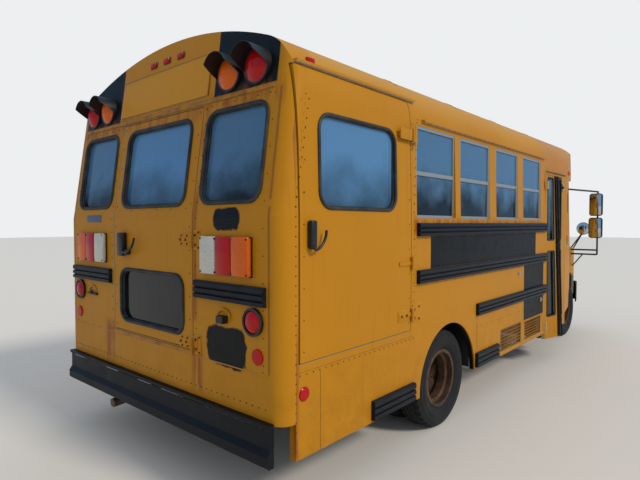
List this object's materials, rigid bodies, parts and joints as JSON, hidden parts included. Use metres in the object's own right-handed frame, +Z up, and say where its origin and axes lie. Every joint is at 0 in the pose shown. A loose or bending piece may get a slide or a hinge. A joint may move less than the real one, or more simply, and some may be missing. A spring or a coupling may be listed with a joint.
{
  "type": "short school bus",
  "caption": "Short cutaway school bus with hinged doors and hood, folding stop arm, steered front wheels and rolling twin rear wheels.",
  "frame": {"origin": "on the ground under the middle of the bus's bounding box", "axes": "+X to the bus's right side, +Y forward, +Z up"},
  "size_m": [2.8, 6.645, 2.7546],
  "materials": {
    "body_paint": "faded school-bus yellow, satin",
    "cap_paint": "moulded cap, satin orange-yellow",
    "roof_paint": "sun-faded yellow, matt",
    "black_paint": "black paint, worn satin",
    "black_plastic": "black",
    "grille_dark": "dark perforated metal",
    "sash": "bare aluminium, dull",
    "tinted_glass": "tinted blue-grey",
    "lens": "red, amber and white lenses",
    "tyre": "black rubber",
    "rusty_rim": "rusty brown",
    "frame_steel": "chassis black",
    "cast": "weathered",
    "exhaust_steel": "rust-tinged",
    "floor": "black floor covering on steel",
    "upholstery": "dark blue-grey vinyl",
    "seat_steel": "grey",
    "cab_grey": "grey",
    "stop_red": "red, blank",
    "mirror_face": "grey mirror and black arms"
  },
  "bodies": {
    "bus_body": {"rear_wall": "body_paint", "right_side_wall": "body_paint", "left_side_wall": "body_paint", "roof_panel": "roof_paint", "rear_cap": "roof_paint", "front_cap": "cap_paint", "cab_shell": "body_paint", "front_fenders": "body_paint", "front_grille": "black_plastic", "headlamps": "lens", "front_bumper": "black_paint", "rear_bumper": "black_paint", "window_frames": "sash", "window_glass": "tinted_glass", "chassis_frame": "frame_steel", "floor_deck": "floor", "rear_axle": "frame_steel", "front_axle": "frame_steel", "engine_block": "cast", "rub_rails": "black_paint", "skirt_grilles": "grille_dark", "lamp_housings": "black_plastic", "lamp_lenses": "lens", "mirrors": "mirror_face", "passenger_seats": "upholstery", "seat_frames": "seat_steel", "driver_seat": "upholstery", "dashboard": "cab_grey", "wheelchair_lift": "seat_steel", "fuel_tank": "frame_steel", "exhaust": "exhaust_steel"},
    "rear_door_body": {"rear_door": "body_paint", "rear_door_handle": "black_plastic", "rear_door_glass": "tinted_glass"},
    "lift_door_body": {"lift_door": "body_paint", "lift_door_glass": "tinted_glass", "lift_door_handle": "black_plastic"},
    "entrance_rear_body": {"entrance_rear_leaf": "body_paint", "entrance_rear_glass": "tinted_glass"},
    "entrance_front_body": {"entrance_front_leaf": "body_paint", "entrance_front_glass": "tinted_glass"},
    "driver_door_body": {"driver_door": "body_paint", "driver_door_glass": "tinted_glass"},
    "hood_body": {"hood": "body_paint"},
    "stop_arm_body": {"stop_arm": "stop_red"},
    "right_knuckle_body": {"right_knuckle": "cast"},
    "left_knuckle_body": {"left_knuckle": "cast"},
    "steering_wheel_body": {"steering_wheel": "black_plastic"},
    "rear_right_wheels": {"rear_right_tyres": "tyre", "rear_right_rims": "rusty_rim"},
    "rear_left_wheels": {"rear_left_tyres": "tyre", "rear_left_rims": "rusty_rim"},
    "front_right_wheel": {"front_right_tyre": "tyre", "front_right_rim": "rusty_rim"},
    "front_left_wheel": {"front_left_tyre": "tyre", "front_left_rim": "rusty_rim"}
  },
  "joints": [
    {"name": "rear_door_hinge", "type": "hinge", "parent": "bus_body", "child": "rear_door_body", "pos_m": [0.475, -3.2905, 1.165], "axis": [0, 0, 1], "range_deg": [0, 110]},
    {"name": "lift_door_hinge", "type": "hinge", "parent": "bus_body", "child": "lift_door_body", "pos_m": [1.232, -2.0605, 1.4], "axis": [0, 0, 1], "range_deg": [0, 105]},
    {"name": "entrance_rear_hinge", "type": "hinge", "parent": "bus_body", "child": "entrance_rear_body", "pos_m": [1.232, 0.7955, 1.21], "axis": [0, 0, -1], "range_deg": [0, 90]},
    {"name": "entrance_front_hinge", "type": "hinge", "parent": "bus_body", "child": "entrance_front_body", "pos_m": [1.232, 1.3595, 1.21], "axis": [0, 0, 1], "range_deg": [0, 90]},
    {"name": "driver_door_hinge", "type": "hinge", "parent": "bus_body", "child": "driver_door_body", "pos_m": [-1.023, 2.0095, 0.935], "axis": [0, 0, -1], "range_deg": [0, 65]},
    {"name": "hood_hinge", "type": "hinge", "parent": "bus_body", "child": "hood_body", "pos_m": [0, 2.3855, 1.28045], "axis": [1, 0, 0], "range_deg": [0, 50]},
    {"name": "stop_arm_hinge", "type": "hinge", "parent": "bus_body", "child": "stop_arm_body", "pos_m": [-1.269, 0.6825, 1.365], "axis": [0, 0, -1], "range_deg": [0, 90]},
    {"name": "right_steer", "type": "hinge", "parent": "bus_body", "child": "right_knuckle_body", "pos_m": [0.76, 2.5255, 0.3725], "axis": [0, 0, 1], "range_deg": [-32, 32]},
    {"name": "left_steer", "type": "hinge", "parent": "bus_body", "child": "left_knuckle_body", "pos_m": [-0.76, 2.5255, 0.3725], "axis": [0, 0, 1], "range_deg": [-32, 32]},
    {"name": "steering_wheel_turn", "type": "hinge", "parent": "bus_body", "child": "steering_wheel_body", "pos_m": [-0.47, 1.6525, 1.34], "axis": [0, -0.6428, 0.766], "range_deg": [-520, 520]},
    {"name": "rear_right_roll", "type": "hinge", "parent": "bus_body", "child": "rear_right_wheels", "pos_m": [0.933, -1.4875, 0.3725], "axis": [1, 0, 0], "continuous": true},
    {"name": "rear_left_roll", "type": "hinge", "parent": "bus_body", "child": "rear_left_wheels", "pos_m": [-0.933, -1.4875, 0.3725], "axis": [1, 0, 0], "continuous": true},
    {"name": "front_right_roll", "type": "hinge", "parent": "right_knuckle_body", "child": "front_right_wheel", "pos_m": [0.885, 2.5255, 0.3725], "axis": [1, 0, 0], "continuous": true},
    {"name": "front_left_roll", "type": "hinge", "parent": "left_knuckle_body", "child": "front_left_wheel", "pos_m": [-0.885, 2.5255, 0.3725], "axis": [1, 0, 0], "continuous": true}
  ],
  "couplings": [
    {"joint": "left_steer", "follows": "right_steer", "ratio": 1},
    {"joint": "steering_wheel_turn", "follows": "right_steer", "ratio": 16},
    {"joint": "entrance_front_hinge", "follows": "entrance_rear_hinge", "ratio": 1}
  ]
}
